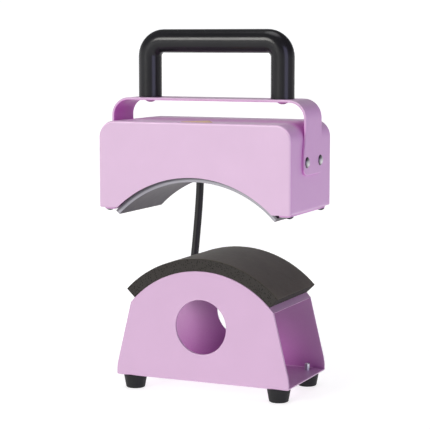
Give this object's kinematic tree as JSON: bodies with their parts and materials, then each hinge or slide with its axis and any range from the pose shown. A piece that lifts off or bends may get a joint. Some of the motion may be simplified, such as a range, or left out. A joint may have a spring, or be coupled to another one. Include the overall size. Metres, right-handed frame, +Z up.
{
  "type": "cap heat press",
  "caption": "Hand-held cap press: a boxy heating head with a concave arched plate, strap and bar handle, over a separate base with a convex padded arch and rubber feet.",
  "frame": {"origin": "middle of the base's footprint, on the surface that its four feet stand on", "axes": "+X along the press to the right seen from its front, +Y towards its back, where the controls and the lead are, +Z up"},
  "size_m": [0.2249, 0.2309, 0.3352],
  "materials": {
    "pink_paint": "semi-gloss powder coat",
    "painted_screws": "semi-gloss powder coat over steel",
    "foam": "closed-cell sponge rubber, smooth top skin and open cut edges",
    "foot_rubber": "matt moulded rubber",
    "zinc_steel": "zinc plated",
    "bright_steel": "polished dome",
    "nickel_brass": "nickel plated",
    "cord_sheath": "satin PVC sheath",
    "tie_nylon": "woven hook-and-loop band",
    "plug_plastic": "moulded PVC",
    "coated_aluminium": "grey non-stick coating over cast aluminium",
    "mica": "laminated mica heater",
    "glass_felt": "glass fibre felt",
    "ceramic": "steatite ceramic",
    "handle_plastic": "satin moulded nylon",
    "brass": "turned brass",
    "amber_label": "blank sticker",
    "panel_plastic": "satin charcoal",
    "button_plastic": "satin light grey",
    "lens": "translucent lens",
    "circuit_board": "solder mask",
    "relay_plastic": "moulded case",
    "terminal_plastic": "moulded nylon",
    "live_insulation": "brown PVC",
    "neutral_insulation": "blue PVC",
    "earth_insulation": "green PVC",
    "silicone_lead": "white silicone"
  },
  "bodies": {
    "base": {"base_shell": "pink_paint", "base_arch_plate": "pink_paint", "foam_pad": "foam", "foot_front_left": "foot_rubber", "foot_rear_left": "foot_rubber", "foot_front_right": "foot_rubber", "foot_rear_right": "foot_rubber", "foot_washers": "zinc_steel", "foot_screws": "zinc_steel", "power_cord": "cord_sheath", "power_cord_coil": "cord_sheath", "cord_tie": "tie_nylon", "power_cord_tail": "cord_sheath", "plug_body": "plug_plastic", "plug_blades": "nickel_brass", "plug_ground_pin": "nickel_brass"},
    "head": {"housing": "pink_paint", "end_cap_left": "pink_paint", "end_cap_right": "pink_paint", "end_cap_screws": "bright_steel", "heat_plate": "coated_aluminium", "heating_element": "mica", "insulation_blanket": "glass_felt", "clamp_sheet": "zinc_steel", "temperature_sensor": "bright_steel", "thermal_fuse": "bright_steel", "support_bracket_left": "zinc_steel", "support_bracket_right": "zinc_steel", "support_studs": "zinc_steel", "stud_spacers": "ceramic", "stud_nuts": "zinc_steel", "strap_bracket": "pink_paint", "strap_rivets": "bright_steel", "handle": "handle_plastic", "handle_inserts": "brass", "handle_screws": "painted_screws", "top_label": "amber_label", "control_panel": "panel_plastic", "indicator_lenses": "lens", "control_board": "circuit_board", "board_standoffs": "brass", "board_screws": "zinc_steel", "tact_switches": "panel_plastic", "relay": "relay_plastic", "terminal_block": "terminal_plastic", "earth_stud": "zinc_steel", "earth_nut": "zinc_steel", "strain_relief": "plug_plastic", "power_cord_inner": "cord_sheath", "live_core": "live_insulation", "neutral_core": "neutral_insulation", "earth_core": "earth_insulation", "heater_lead_front": "silicone_lead", "heater_lead_rear": "silicone_lead"},
    "power_button": {"power_button": "button_plastic"},
    "level_button": {"level_button": "button_plastic"}
  },
  "joints": [
    {"name": "head_lift", "type": "slide", "parent": "base", "child": "head", "axis": [-0.0955, 0, 0.9954], "range_m": [-0.06912, 0], "deforming": ["power_cord"]},
    {"name": "power_button_press", "type": "slide", "parent": "head", "child": "power_button", "axis": [0, -1, 0], "range_m": [0, 0.0008], "stiffness_N_per_m": 900},
    {"name": "level_button_press", "type": "slide", "parent": "head", "child": "level_button", "axis": [0, -1, 0], "range_m": [0, 0.0008], "stiffness_N_per_m": 900}
  ]
}
